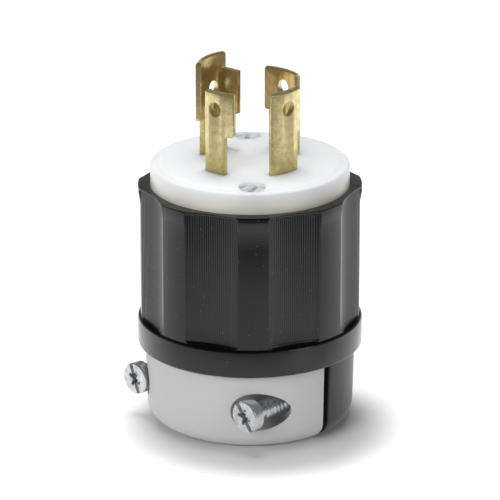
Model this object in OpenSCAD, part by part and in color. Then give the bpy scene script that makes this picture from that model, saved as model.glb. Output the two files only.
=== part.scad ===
// Locking power plug with four curved blades, a fluted grip and a two-colour cord clamp.
// The origin is the centre of the cord entry, on the base of the clamp, and +Z runs towards the blades.

/* [Cord clamp] */
// Height of the clamp cup
cup_h = 17.4; // [16:0.1:20]
// Step from the flange ring in to the cup's open end
cup_step = 1.6; // [1:0.1:2]
// Draft of the cup's side wall, in degrees
cup_draft = 1.5; // [0.5:0.25:2.5]
// Radius of the cup's bottom edge
cup_edge_r = 4; // [2:0.25:5]
// Thickness of the cup's walls round its cored-out pockets
cup_wall = 2.6; // [1.6:0.1:3]
// Arc of each cored-out pocket, in degrees
core_arc = 52; // [40:1:60]
// Bore that grips the cord
cord_d = 19.5; // [16:0.5:20]
// Depth of the grip grooves in the cord bore
groove_depth = 0.6; // [0.3:0.1:1]
// Width of each grip groove
groove_w = 1.6; // [1:0.1:2.4]
// Number of grip grooves
groove_count = 3; // [2:1:4]
// Gap between the clamp halves at their top
gap_top = 1.55; // [0.8:0.05:2]
// Gap between the clamp halves at their base
gap_base = 1.25; // [0.6:0.05:2]
// Wall of the neck that passes through the body's floor
neck_wall = 3; // [2:0.1:3.2]
// Width of the lip that hooks the neck over the floor
lip_w = 1.4; // [0.8:0.1:1.5]
// Thickness of that lip
lip_t = 2; // [1:0.1:3]

/* [Clamp screws] */
// Distance from the cup's open end in to the clamp screws
clamp_inset = 6.4; // [6.2:0.1:7]
// Height of the clamp screws above the base
clamp_screw_z = 8.9; // [8:0.1:10]
// Thread diameter of the clamp screws
clamp_thread_d = 4.1; // [3.5:0.1:4.5]
// Diameter of the plain neck under the head
clamp_neck_d = 3.4; // [2.8:0.1:3.5]
// Length of the plain neck under the head
clamp_neck_l = 3; // [1:0.1:5]
// Diameter of the screw heads
clamp_head_d = 7; // [6:0.1:7.4]
// Thickness of the screw heads
clamp_head_t = 2.6; // [2:0.1:3.2]
// Distance from the parting plane to the outer face of the heads
clamp_head_out = 19.4; // [18:0.1:21]
// Length of the clamp screws under the head
clamp_screw_l = 25.5; // [24:0.5:27]
// Diameter of the screw pockets in the light half
pocket_d = 8.6; // [7.8:0.1:8.8]
// Distance from the parting plane to the floor of the screw pockets
pocket_floor = 7; // [6:0.1:8]
// Width across the flats of the square clamp nuts
nut_af = 7; // [6.5:0.1:7.2]
// Thickness of the clamp nuts
nut_t = 3.2; // [2.5:0.1:3.5]
// Distance from the parting plane to the inner face of the nuts
nut_in = 3.1; // [2.8:0.1:3.5]
// Width of the slot in the clamp screws
slot_w = 1; // [0.7:0.05:1.3]
// Depth of the slot in the clamp screws
slot_depth = 1; // [0.6:0.05:1.3]
// Width of the cross recess in the clamp screws
cross_w = 0.8; // [0.6:0.05:1]
// Length of each arm pair of that recess
cross_l = 3.3; // [2.6:0.1:4]
// Depth of that recess
cross_depth = 1.4; // [1.3:0.05:1.8]
// Turn of the slots in the clamp screws, in degrees
clamp_slot_turn = 55; // [0:5:90]

/* [Body] */
// Overhang of the flange ring past the lands
ring_out = 0.6; // [0.4:0.1:2]
// Height of the flange ring
ring_h = 6.1; // [5:0.1:8]
// Rounding of the ring's edges
ring_edge_r = 0.45; // [0.2:0.05:0.8]
// Height of the fluted grip above the ring
grip_h = 30; // [27:0.5:34]
// Diameter over the smooth lands of the grip
land_d = 47.8; // [47.2:0.1:48.4]
// Arc of each land, in degrees
land_arc = 15.5; // [12:0.5:20]
// Depth of the flutes below the lands
flute_depth = 1.5; // [1.1:0.05:1.7]
// Fillet where a flute meets the ring
flute_fillet = 0.8; // [0.4:0.05:1.2]
// Number of fine ribs in a flute
rib_count = 24; // [12:1:30]
// Height of the fine ribs
rib_h = 0.12; // [0.06:0.01:0.18]
// Outward swell of the grip below its rim
rim_swell = 0.4; // [0.1:0.05:0.5]
// Height of that swell
rim_swell_h = 3.6; // [2:0.2:5]
// Height of the bead where a flute meets the rim
rim_bead_h = 0.9; // [0.5:0.1:1.5]
// Edge break of the rim
rim_edge = 0.25; // [0.1:0.05:0.4]
// Wall of the body behind the middle of a flute
wall = 2.2; // [1.9:0.05:2.5]
// Wall of the rim beside the face plate, at the middle of a flute
rim_wall = 0.7; // [0.6:0.05:1]
// Thickness of the floor at the clamp end
floor_t = 3.6; // [2.5:0.1:4.5]

/* [Face plate] */
// Height of the face plate's edge above the rim
face_rise = 4.7; // [3:0.1:7]
// Depth of the face plate inside the rim
face_seat = 4.6; // [3.5:0.1:7]
// Rounding of the face plate's edge
face_edge_r = 0.6; // [0.3:0.1:1.2]
// Width of the step round the raised middle of the face
face_step = 2.2; // [1.6:0.1:3]
// Height of the raised middle
raised_h = 0.3; // [0.1:0.05:0.6]
// Depth of the relief in the face under the ground blade's hook
relief_depth = 2; // [1:0.1:3]

/* [Terminal block] */
// Thickness of the deck that the blades pass through
deck_t = 4; // [3:0.1:6]
// Height of the ledge that the blades stand on
foot_h = 2.5; // [1.5:0.1:4]
// Room beside each blade in its wiring chamber, in degrees
chamber_side = 3; // [1.5:0.25:4]
// Height of the space for conductors under the block
splay_h = 6; // [5:0.1:8]

/* [Blades] */
// Distance from the axis to the outer face of the blades
blade_r = 11.7; // [11:0.1:12.2]
// Thickness of the blades
blade_t = 1.27; // [1:0.01:1.5]
// Reach of the line and neutral blades above the face
blade_reach = 18.2; // [16:0.1:20]
// Reach of the ground blade above the face
ground_reach = 21.8; // [20:0.1:24]
// Height of the locking ears above the face
ear_rise = 8.5; // [7:0.05:10]
// Bevel on the outer side of the blade tips
tip_bevel = 0.5; // [0.3:0.05:0.55]
// Bevel on the inner side of the blade tips
tip_bevel_in = 0.35; // [0.2:0.05:0.4]
// Rounding of the corners of the locking ears
ear_r = 0.6; // [0.4:0.1:1.2]
// Rounding of the other corner at each blade's tip
tip_r = 0.6; // [0.3:0.1:0.9]
// Fillet in the corner between a stem and its ear
ear_fillet = 0.6; // [0.3:0.1:0.9]
// Hole near the blade tips
blade_hole_d = 3.3; // [2.6:0.1:3.6]
// Height of the blade holes above the face
blade_hole_rise = 14.2; // [13.5:0.05:14.5]
// Reach of the ground blade's hook, inward from the blade's outer face
hook_reach = 5.65; // [4:0.05:6.2]
// Direction of the ground blade, in degrees
ground_at = 138; // [136:0.2:142]
// Arc of the ground blade, in degrees
ground_arc = 39; // [36:0.5:42]
// Arc of the ground blade's ear, in degrees
ground_ear = 18; // [8:0.2:20]
// Direction of the neutral blade, in degrees
neutral_at = 309.9; // [308:0.1:314]
// Arc of the neutral blade, in degrees
neutral_arc = 37.6; // [34:0.2:40]
// Arc of the neutral blade's ear, in degrees
neutral_ear = 7; // [5:0.2:10]
// Turn of its hole from the middle of its stem, in degrees
neutral_hole = 3.2; // [0:0.1:5]
// Direction of the first line blade, in degrees
line_x_at = 227; // [226:0.2:230]
// Arc of the first line blade, in degrees
line_x_arc = 27.4; // [27:0.2:32]
// Turn of its hole from the middle of its stem, in degrees
line_x_hole = 1; // [-2:0.1:4]
// Direction of the second line blade, in degrees
line_y_at = 40.4; // [38:0.2:42]
// Arc of the second line blade, in degrees
line_y_arc = 39.2; // [36:0.2:42]
// Turn of its hole from the middle of its stem, in degrees
line_y_hole = 4.1; // [0:0.1:5]
// Arc of the ears on the line blades, in degrees
ear_arc = 10.6; // [6:0.2:12]

/* [Terminals] */
// Thread diameter of the terminal screws
term_thread_d = 4; // [3.5:0.1:4.2]
// Diameter of the terminal screw heads
term_head_d = 6.6; // [6:0.1:7]
// Thickness of the terminal screw heads
term_head_t = 2.2; // [1.6:0.1:2.4]
// Space for a conductor between blade and pressure plate
wire_gap = 2.8; // [2:0.1:3.2]
// Thickness of the pressure plates
plate_t = 1.5; // [1:0.1:1.8]
// Width of the slot in the terminal and assembly screws
small_slot_w = 1; // [0.7:0.05:1.2]
// Depth of the slot in the terminal and assembly screws
small_slot_depth = 0.8; // [0.5:0.05:1]
// Width of the pressure plates
plate_w = 8; // [7.6:0.1:8.4]
// Height of the pressure plates
plate_h = 11; // [9:0.5:12]
// Gap between the pressure plates and the deck above them
plate_gap = 2.4; // [1.5:0.1:3.4]
// Reach of the terminal screws past the blade
term_tip = 2; // [1:0.1:3]

/* [Assembly screws] */
// Distance from the body's bore in to the assembly screws
assembly_inset = 2.5; // [2.3:0.1:2.6]
// Thread diameter of the assembly screws
assembly_thread_d = 3.5; // [3:0.1:3.6]
// Diameter of the assembly screw heads
assembly_head_d = 5.4; // [5:0.1:5.6]
// Thickness of the assembly screw heads
assembly_head_t = 1.7; // [1.2:0.1:2]
// Diameter of the recesses for those heads
recess_d = 5.9; // [5.8:0.1:6.4]
// Depth of the recesses below the face
recess_depth = 2.5; // [2.2:0.1:3.5]
// Outer diameter of the brass inserts
insert_d = 4.6; // [4.2:0.1:4.8]
// Length of the brass inserts
insert_l = 5.4; // [4:0.1:6]
// Wall of the bosses round the inserts
boss_wall = 0.6; // [0.5:0.05:0.7]

/* [Clearances] */
// Clearance of a part in its pocket, bore or slot, on each side
fit = 0.1; // [0.05:0.01:0.15]
// Clearance of a screw thread in its threaded seat, on each side
thread_fit = 0.05; // [0.03:0.01:0.08]
// Clearance of a screw in a plain hole, on each side
screw_play = 0.2; // [0.15:0.01:0.3]
// Shadow gap between the cup and the flange ring
shadow_gap = 0.25; // [0.1:0.05:0.3]

/* [Hidden] */
$fn = 96;

// How far a cutter runs past the face that it opens
over = 1;
// The parting plane of the clamp, turned from +X about the axis
clamp_turn = -45;
// One flute between each two lands
flute_pitch = 45;
// The assembly screws stand at +Y and -Y
assembly_at = 90;

// Heights of the main faces, from the base up
z_cup = cup_h - shadow_gap;
z_ring = cup_h;
z_floor = z_ring + floor_t;
z_ledge = z_ring + ring_h;
z_block = z_floor + splay_h;
z_foot = z_block + foot_h;
z_rim = z_ledge + grip_h;
z_seat = z_rim - face_seat;
z_deck = z_seat - deck_t;
z_term = z_deck - plate_gap - plate_h / 2;
z_edge = z_rim + face_rise;
z_face = z_edge + raised_h;
z_ear = z_face + ear_rise;

// Radii and widths that follow from the sizes above
ring_r = land_d / 2 + ring_out;
flute_r = land_d / 2 - flute_depth;
bore_r = flute_r - wall;
face_r = flute_r - rim_wall - fit;
raised_r = face_r - face_step;
assembly_r = bore_r - assembly_inset;
cup_r = ring_r - cup_step;
clamp_x = cup_r - clamp_inset;
neck_r = cord_d / 2 + neck_wall;
lip_r = neck_r + lip_w;
floor_hole_r = neck_r + fit;
block_r = bore_r - 2 * fit;
blade_in_r = blade_r - blade_t;
core_r = blade_in_r - 2 * fit;
slot_in_r = blade_in_r - fit;
ledge_r = blade_r + fit;
slot_side = fit / blade_r * 180 / PI;
plate_in = blade_r + wire_gap;
plate_out = plate_in + plate_t;
boss_r = insert_d / 2 + fit + boss_wall;
z_insert = z_block - insert_l - fit;
z_screw_seat = z_face - recess_depth;

// Undersides of the heads and tips of the clamp screws, from the parting plane
clamp_under = -clamp_head_out + clamp_head_t;
clamp_tip = clamp_under + clamp_screw_l;

// A flute is an arc about an axis outside the body, through the edges of two lands
flute_half = (flute_pitch - land_arc) / 2;
chord_half = land_d / 2 * sin(flute_half);
chord_x = land_d / 2 * cos(flute_half);
flute_sag = chord_x - flute_r;
flute_arc_r = (chord_half * chord_half + flute_sag * flute_sag) / (2 * flute_sag);
flute_axis = flute_r + flute_arc_r;
flute_arc_half = asin(chord_half / flute_arc_r);

// Each blade: direction, arc of its stem, arc of its ear, reach above the face, turn of its hole
GROUND = [ground_at, ground_arc, ground_ear, ground_reach, 0];
NEUTRAL = [neutral_at, neutral_arc, neutral_ear, blade_reach, neutral_hole];
LINE_X = [line_x_at, line_x_arc, ear_arc, blade_reach, line_x_hole];
LINE_Y = [line_y_at, line_y_arc, ear_arc, blade_reach, line_y_hole];
BLADES = [GROUND, NEUTRAL, LINE_X, LINE_Y];

function stem_from(b) = b[0] - b[1] / 2;
function stem_to(b) = b[0] + b[1] / 2;

// A rounded corner of a blade meets its edges at a slight angle, as stamped corners do
corner_break = 0.04;

// The hook stands parallel to the ground blade's direction, flush with its clockwise edge
hook_lap = 0.13;
hook_out = blade_r * cos(ground_arc / 2) - hook_lap;
hook_y = -blade_r * sin(ground_arc / 2) - hook_lap;

// Turns its profile from one angle to another about the axis
module sector(from, to) {
    rotate([0, 0, from])
        rotate_extrude(angle = to - from)
            children();
}

// A profile rectangle between two radii and two heights
module band(r0, r1, z0, z1) {
    translate([r0, z0])
        square([r1 - r0, z1 - z0]);
}

// Profile of a turned disc from the axis outwards, with rounded outer corners
module turned(r, z0, z1, base_r, top_r) {
    band(0, r, z0 + base_r, z1 - top_r);
    band(0, r - base_r, z0, z1 - top_r);
    band(0, r - top_r, z0 + base_r, z1);
    translate([r - base_r, z0 + base_r])
        circle(base_r);
    translate([r - top_r, z1 - top_r])
        circle(top_r);
}

// A rod along +X from one distance to another, at an angle and a height
module radial_rod(at, z, d, from, to, sides = 96) {
    rotate([0, 0, at])
        translate([from, 0, z])
            rotate([0, 90, 0])
                cylinder(d = d, h = to - from, $fn = sides);
}

// ---- Body ----

// Outline of one flute about its own axis, with fine ribs across it
module flute_outline() {
    steps = 2 * rib_count;
    ribbed = [
        for (i = [0:steps])
            let (
                a = -flute_arc_half + 2 * flute_arc_half * i / steps,
                r = flute_arc_r - (i % 2 == 1 ? rib_h : 0)
            )
            [-r * cos(a), r * sin(a)]
    ];
    back = ring_r - flute_axis + over;
    polygon(concat(ribbed, [[back, chord_half + over / 2], [back, -chord_half - over / 2]]));
}

// Profile of the flute cutter about the same axis: filleted foot, bead at the rim
module flute_profile() {
    r = flute_arc_r + fit / 2;
    translate([r - flute_fillet, flute_fillet])
        circle(flute_fillet);
    band(0, r - flute_fillet, 0, 2 * flute_fillet);
    polygon([
        [0, flute_fillet],
        [r, flute_fillet],
        [r, grip_h - rim_bead_h],
        [r - rim_swell, grip_h - rim_bead_h / 2],
        [r - rim_swell, grip_h + over],
        [0, grip_h + over]
    ]);
}

module flute_cutter() {
    translate([flute_axis, 0, z_ledge])
        intersection() {
            linear_extrude(height = grip_h + over)
                flute_outline();
            rotate_extrude()
                flute_profile();
        }
}

// Profile of the ring and the lands, with the swell under the rim
module body_profile() {
    turned(ring_r, z_ring, z_ledge, ring_edge_r, ring_edge_r);
    land_r = land_d / 2;
    swell_r = land_r + rim_swell;
    polygon([
        [0, z_ring + ring_edge_r],
        [land_r, z_ring + ring_edge_r],
        [land_r, z_rim - rim_swell_h],
        [swell_r, z_rim - rim_swell_h / 3],
        [swell_r, z_rim - rim_edge],
        [swell_r - rim_edge, z_rim],
        [0, z_rim]
    ]);
}

// Profile of everything bored out of the body
module bore_profile() {
    band(0, floor_hole_r, z_ring - over, z_floor + over);
    band(0, bore_r, z_floor, z_seat + over);
    band(0, face_r + fit, z_seat, z_rim + over);
}

module boss_at(at) {
    rotate([0, 0, at])
        translate([assembly_r, 0, z_floor - over])
            cylinder(r = boss_r, h = z_block - z_floor + over);
}

module body_shell() {
    color("#232428")
        difference() {
            union() {
                difference() {
                    rotate_extrude()
                        body_profile();
                    rotate_extrude()
                        bore_profile();
                    for (i = [0:360 / flute_pitch - 1])
                        rotate([0, 0, flute_pitch * (i + 0.5)])
                            flute_cutter();
                }
                boss_at(assembly_at);
                boss_at(-assembly_at);
            }
            for (at = [assembly_at, -assembly_at])
                rotate([0, 0, at])
                    translate([assembly_r, 0, z_insert - fit])
                        cylinder(d = insert_d + 2 * thread_fit, h = insert_l + over);
        }
}

// ---- Face plate and terminal block ----

// The slot that a blade's stem passes through
module blade_slot(b, z0, z1) {
    sector(stem_from(b) - slot_side, stem_to(b) + slot_side)
        band(slot_in_r, ledge_r, z0, z1);
}

// A shallow relief in the face under the ground blade's hook
module hook_relief() {
    rotate([0, 0, ground_at])
        translate([blade_r - hook_reach - fit, hook_y - fit, z_face - relief_depth])
            cube([hook_reach - blade_t, blade_t + 2 * fit, relief_depth + over]);
}

module assembly_holes(d, z0, z1) {
    for (at = [assembly_at, -assembly_at])
        rotate([0, 0, at])
            translate([assembly_r, 0, z0])
                cylinder(d = d, h = z1 - z0);
}

module face_plate() {
    color("#f4f5f2")
        difference() {
            rotate_extrude() {
                turned(face_r, z_seat, z_edge, face_edge_r / 2, face_edge_r);
                band(0, raised_r, z_edge - face_edge_r, z_face);
            }
            for (b = BLADES)
                blade_slot(b, z_seat - over, z_face + over);
            hook_relief();
            assembly_holes(assembly_thread_d + 2 * screw_play, z_seat - over, z_face);
            assembly_holes(recess_d, z_screw_seat, z_face + over);
        }
}

// The chamber behind a blade, open downwards and outwards, with a ledge under the blade
module wiring_chamber(b) {
    out = block_r + over;
    sector(stem_from(b) - chamber_side, stem_to(b) + chamber_side)
        polygon([
            [ledge_r, z_block - over],
            [out, z_block - over],
            [out, z_deck],
            [core_r, z_deck],
            [core_r, z_foot],
            [ledge_r, z_foot]
        ]);
}

module terminal_block() {
    color("#e7e6df")
        difference() {
            translate([0, 0, z_block])
                cylinder(r = block_r, h = z_seat - z_block);
            for (b = BLADES) {
                wiring_chamber(b);
                blade_slot(b, z_deck - over, z_seat + over);
                radial_rod(b[0], z_term, term_thread_d + 2 * screw_play,
                    blade_in_r - term_tip - 2 * fit, blade_r);
            }
            assembly_holes(assembly_thread_d + 2 * screw_play, z_block - over, z_seat + over);
        }
}

// ---- Blades ----

// Rounds a corner of a blade: side is +1 counterclockwise or -1, rise is +1 up or -1
module corner_round(at, z, r, side, rise) {
    rotate([0, 0, at])
        translate([blade_in_r - 2 * over, 0, z])
            rotate([90, 0, 90])
                linear_extrude(height = blade_t + 4 * over)
                    difference() {
                        translate([side > 0 ? -r : -over, rise > 0 ? -r : -over])
                            square(r + over);
                        translate([-side * (r - corner_break), -rise * (r - corner_break)])
                            circle(r);
                    }
}

module blade(b) {
    z_tip = z_face + b[3];
    ear_to = stem_to(b) + b[2];
    difference() {
        sector(stem_from(b), ear_to)
            polygon([
                [blade_in_r, z_foot],
                [blade_r, z_foot],
                [blade_r, z_tip - tip_bevel],
                [blade_r - tip_bevel, z_tip],
                [blade_in_r + tip_bevel_in, z_tip],
                [blade_in_r, z_tip - tip_bevel_in]
            ]);
        difference() {
            sector(stem_to(b), ear_to + slot_side)
                band(blade_in_r - over, ledge_r + over, z_foot - over, z_ear);
            corner_round(stem_to(b), z_ear, ear_fillet, -1, 1);
        }
        corner_round(ear_to, z_ear, ear_r, 1, -1);
        corner_round(ear_to, z_tip, ear_r, 1, 1);
        corner_round(stem_from(b), z_tip, tip_r, -1, 1);
        radial_rod(b[0] + b[4], z_face + blade_hole_rise, blade_hole_d, blade_in_r - over, blade_r + over);
        radial_rod(b[0], z_term, term_thread_d + 2 * thread_fit, blade_in_r - over, blade_r + over);
    }
}

// The hook is a tab bent inwards from the ground blade, as high as the other blades
module hook() {
    rotate([0, 0, ground_at])
        translate([blade_r - hook_reach, hook_y, z_ear])
            cube([hook_out - blade_r + hook_reach, blade_t, blade_reach - ear_rise]);
}

module ground_blade() {
    color("#c9b873")
        union() {
            blade(GROUND);
            hook();
        }
}

module neutral_blade() {
    color("#c9b873")
        blade(NEUTRAL);
}

module line_blade_x() {
    color("#c9b873")
        blade(LINE_X);
}

module line_blade_y() {
    color("#c9b873")
        blade(LINE_Y);
}

// ---- Terminals ----

// A flat plate that presses a conductor against the blade
module pressure_plate(b) {
    color("#c4c6c6")
        difference() {
            rotate([0, 0, b[0]])
                translate([plate_in, -plate_w / 2, z_term - plate_h / 2])
                    cube([plate_t, plate_w, plate_h]);
            radial_rod(b[0], z_term, term_thread_d + 2 * screw_play, plate_in - over, plate_out + over);
        }
}

module ground_pressure_plate() {
    pressure_plate(GROUND);
}

module neutral_pressure_plate() {
    pressure_plate(NEUTRAL);
}

module line_x_pressure_plate() {
    pressure_plate(LINE_X);
}

module line_y_pressure_plate() {
    pressure_plate(LINE_Y);
}

// A slotted screw along -X of its direction, with a round or a six-sided head
module terminal_screw(b, sides) {
    head_out = plate_out + term_head_t;
    difference() {
        union() {
            radial_rod(b[0], z_term, term_head_d, plate_out, head_out, sides);
            radial_rod(b[0], z_term, term_thread_d, blade_in_r - term_tip, plate_out + term_head_t / 2);
        }
        rotate([0, 0, b[0]])
            translate([head_out - small_slot_depth, -small_slot_w / 2, z_term - term_head_d])
                cube([small_slot_depth + over, small_slot_w, 2 * term_head_d]);
    }
}

module ground_terminal_screw() {
    color("#3f8f4a")
        terminal_screw(GROUND, 6);
}

module neutral_terminal_screw() {
    color("#d2d4d6")
        terminal_screw(NEUTRAL, 96);
}

module line_terminal_screws() {
    color("#cdb766") {
        terminal_screw(LINE_X, 96);
        terminal_screw(LINE_Y, 96);
    }
}

// ---- Assembly screws ----

module assembly_screw() {
    z_tip = z_insert + 2 * fit;
    z_head = z_screw_seat + assembly_head_t;
    translate([assembly_r, 0, 0])
        difference() {
            union() {
                translate([0, 0, z_screw_seat])
                    cylinder(d = assembly_head_d, h = assembly_head_t);
                translate([0, 0, z_tip])
                    cylinder(d = assembly_thread_d, h = z_screw_seat - z_tip + assembly_head_t / 2);
            }
            translate([-assembly_head_d, -small_slot_w / 2, z_head - small_slot_depth])
                cube([2 * assembly_head_d, small_slot_w, small_slot_depth + over]);
        }
}

module assembly_screws() {
    color("#b9c6cf")
        for (at = [assembly_at, -assembly_at])
            rotate([0, 0, at])
                assembly_screw();
}

module assembly_inserts() {
    color("#cdb766")
        difference() {
            assembly_holes(insert_d, z_insert, z_insert + insert_l);
            assembly_holes(assembly_thread_d + 2 * thread_fit, z_insert - over, z_block + over);
        }
}

// ---- Cord clamp ----
// In the clamp's own directions the screws run along Y and the parting plane is X-Z.

// Profile of the cup: a drafted wall that runs into a round bottom edge
module cup_profile() {
    wall_z = cup_edge_r * (1 - sin(cup_draft));
    base_r = cup_r - (z_cup - wall_z) * tan(cup_draft) - cup_edge_r * cos(cup_draft);
    wall_r = base_r + cup_edge_r * cos(cup_draft);
    polygon([[0, 0], [base_r, 0], [base_r, cup_edge_r], [wall_r, wall_z], [cup_r, z_cup], [0, z_cup]]);
    translate([base_r, cup_edge_r])
        circle(cup_edge_r);
}

// Profile of the cord bore with its grip grooves
module cord_profile() {
    r = cord_d / 2;
    pitch = z_cup / (groove_count + 0.5);
    band(0, r, -over, z_floor + lip_t + over);
    for (i = [1:groove_count])
        translate([0, pitch * i - groove_w / 2])
            square([r + groove_depth, groove_w]);
}

// Profile of the pocket that cores out the cup between its jaw and its wall
module core_profile() {
    band(neck_r + fit, cup_r - cup_wall, cup_wall + groove_depth, z_cup + over);
}

// Everything that the two halves share, before they are parted
module clamp_blank() {
    difference() {
        rotate_extrude() {
            cup_profile();
            band(0, neck_r, 0, z_floor + lip_t);
            band(0, lip_r, z_floor, z_floor + lip_t);
        }
        rotate_extrude()
            cord_profile();
        for (side = [-90, 90])
            sector(side - core_arc / 2, side + core_arc / 2)
                core_profile();
    }
}

// The half on one side of the tapered parting gap: side is -1 or +1 along Y
module clamp_side(side) {
    far = 2 * cup_r;
    z_top = z_floor + lip_t + over;
    slope = (gap_top - gap_base) / 2 / z_cup;
    intersection() {
        clamp_blank();
        translate([-far, 0, 0])
            rotate([90, 0, 90])
                linear_extrude(height = 2 * far)
                    polygon([
                        [side * gap_base / 2, 0],
                        [side * (gap_base / 2 + slope * z_top), z_top],
                        [side * far, z_top],
                        [side * far, 0]
                    ]);
    }
}

// A rod along +Y at one of the two clamp screws
module clamp_rod(x, d, from, to) {
    translate([x, from, clamp_screw_z])
        rotate([-90, 0, 0])
            cylinder(d = d, h = to - from);
}

module clamp_half_light() {
    color("#d9dad9")
        rotate([0, 0, clamp_turn])
            difference() {
                clamp_side(-1);
                for (x = [-clamp_x, clamp_x]) {
                    clamp_rod(x, clamp_thread_d + 2 * screw_play, -pocket_floor - over, 0);
                    clamp_rod(x, pocket_d, -2 * cup_r, -pocket_floor);
                }
            }
}

// The slot that a square nut drops into, open towards the flange ring
module nut_slot(x) {
    half = nut_af / 2 + fit;
    translate([x - half, nut_in - fit, clamp_screw_z - half])
        cube([2 * half, nut_t + 2 * fit, z_cup - clamp_screw_z + half + over]);
}

module clamp_half_dark() {
    hole_end = clamp_tip + gap_top + fit;
    color("#2b2c30")
        rotate([0, 0, clamp_turn])
            difference() {
                clamp_side(1);
                for (x = [-clamp_x, clamp_x]) {
                    clamp_rod(x, clamp_thread_d + 2 * screw_play, 0, hole_end);
                    nut_slot(x);
                }
            }
}

module clamp_screw(x) {
    difference() {
        union() {
            clamp_rod(x, clamp_head_d, -clamp_head_out, clamp_under);
            clamp_rod(x, clamp_neck_d, clamp_under - clamp_head_t / 2, clamp_under + clamp_neck_l + over);
            clamp_rod(x, clamp_thread_d, clamp_under + clamp_neck_l, clamp_tip);
        }
        translate([x, -clamp_head_out - over, clamp_screw_z])
            rotate([0, clamp_slot_turn, 0]) {
                translate([-clamp_head_d, 0, -slot_w / 2])
                    cube([2 * clamp_head_d, over + slot_depth, slot_w]);
                translate([-cross_w / 2, 0, -cross_l / 2])
                    cube([cross_w, over + cross_depth, cross_l]);
            }
    }
}

module clamp_screws() {
    color("#cfd2d4")
        rotate([0, 0, clamp_turn]) {
            clamp_screw(-clamp_x);
            clamp_screw(clamp_x);
        }
}

module clamp_nuts() {
    color("#c4c6c6")
        rotate([0, 0, clamp_turn])
            for (x = [-clamp_x, clamp_x])
                difference() {
                    translate([x - nut_af / 2, nut_in, clamp_screw_z - nut_af / 2])
                        cube([nut_af, nut_t, nut_af]);
                    clamp_rod(x, clamp_thread_d + 2 * thread_fit, nut_in - over, nut_in + nut_t + over);
                }
}

body_shell();
face_plate();
terminal_block();
ground_blade();
neutral_blade();
line_blade_x();
line_blade_y();
ground_pressure_plate();
neutral_pressure_plate();
line_x_pressure_plate();
line_y_pressure_plate();
ground_terminal_screw();
neutral_terminal_screw();
line_terminal_screws();
assembly_screws();
assembly_inserts();
clamp_half_light();
clamp_half_dark();
clamp_screws();
clamp_nuts();
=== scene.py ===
"""Locking power plug: its finished pieces, their materials and the stage, built round the CAD frame."""
import math

import bmesh
import bpy
from mathutils import Matrix, Vector


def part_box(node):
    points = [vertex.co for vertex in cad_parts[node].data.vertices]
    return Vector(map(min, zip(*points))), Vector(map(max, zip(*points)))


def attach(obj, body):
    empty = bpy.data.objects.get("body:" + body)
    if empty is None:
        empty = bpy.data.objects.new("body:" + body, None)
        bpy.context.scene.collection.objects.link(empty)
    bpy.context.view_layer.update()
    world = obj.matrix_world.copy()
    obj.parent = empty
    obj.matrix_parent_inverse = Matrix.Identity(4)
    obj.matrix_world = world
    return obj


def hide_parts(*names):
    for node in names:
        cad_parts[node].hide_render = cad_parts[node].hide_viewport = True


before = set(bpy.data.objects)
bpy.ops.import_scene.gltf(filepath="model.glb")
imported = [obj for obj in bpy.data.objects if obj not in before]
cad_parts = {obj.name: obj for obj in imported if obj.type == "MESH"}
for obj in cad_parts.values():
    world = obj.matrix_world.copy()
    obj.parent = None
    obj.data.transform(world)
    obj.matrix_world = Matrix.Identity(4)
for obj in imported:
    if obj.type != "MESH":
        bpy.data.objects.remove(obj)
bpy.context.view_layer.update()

bl_info = {
    "name": "Locking Power Plug",
    "version": (1, 0, 0),
    "blender": (4, 5, 0),
    "location": "View3D > Sidebar > Plug",
    "description": "Builds the finished pieces of a locking power plug round its CAD frame",
    "category": "Object",
}

MM = 0.001
TURN = 2 * math.pi
BODY = "root"

# Heights and radii that the frame gives
BODY_LOW, BODY_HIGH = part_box("body_shell")
FACE_LOW, FACE_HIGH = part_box("face_plate")
_, CLAMP_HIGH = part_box("clamp_half_dark")
BLADE_LOW, BLADE_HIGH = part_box("neutral_blade")
_, GROUND_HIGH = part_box("ground_blade")
SCREW_LOW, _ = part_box("assembly_screws")
RING_R = BODY_HIGH.x
Z_RING = BODY_LOW.z
Z_RIM = BODY_HIGH.z
FACE_R = FACE_HIGH.x
Z_SEAT = FACE_LOW.z
Z_FACE = FACE_HIGH.z
Z_FOOT = BLADE_LOW.z
Z_TIP = BLADE_HIGH.z
Z_GROUND_TIP = GROUND_HIGH.z
Z_NECK = CLAMP_HIGH.z
Z_SHANK = SCREW_LOW.z

# The clamp's screws run along its own Y, and the whole clamp is turned by this about Z
CLAMP_TURN = math.radians(-45)

# Play between parts that fit into one another
PLAY = 0.1 * MM
# Points of a spun shell that lie closer than this are one
SEAM = 0.0005 * MM


# ---- Settings ----

def distance(name, description, mm):
    """A length property whose default is given in millimetres."""
    return bpy.props.FloatProperty(
        name=name, description=description, default=mm * MM, min=0.0,
        unit="LENGTH", subtype="DISTANCE", precision=5,
    )


def bearing(name, description, degrees):
    """An angle property whose default is given in degrees."""
    return bpy.props.FloatProperty(
        name=name, description=description, default=math.radians(degrees), unit="ROTATION", subtype="ANGLE"
    )


def linear(hex_colour):
    """An sRGB hex colour as the linear colour that Blender's sockets take."""
    channels = (int(hex_colour[i:i + 2], 16) / 255 for i in (1, 3, 5))
    return tuple(c / 12.92 if c <= 0.04045 else ((c + 0.055) / 1.055) ** 2.4 for c in channels) + (1.0,)


def colour(name, description, hex_colour):
    """A colour property whose default is given as sRGB hex."""
    return bpy.props.FloatVectorProperty(
        name=name, description=description, default=linear(hex_colour),
        size=4, min=0.0, max=1.0, subtype="COLOR",
    )


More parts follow.
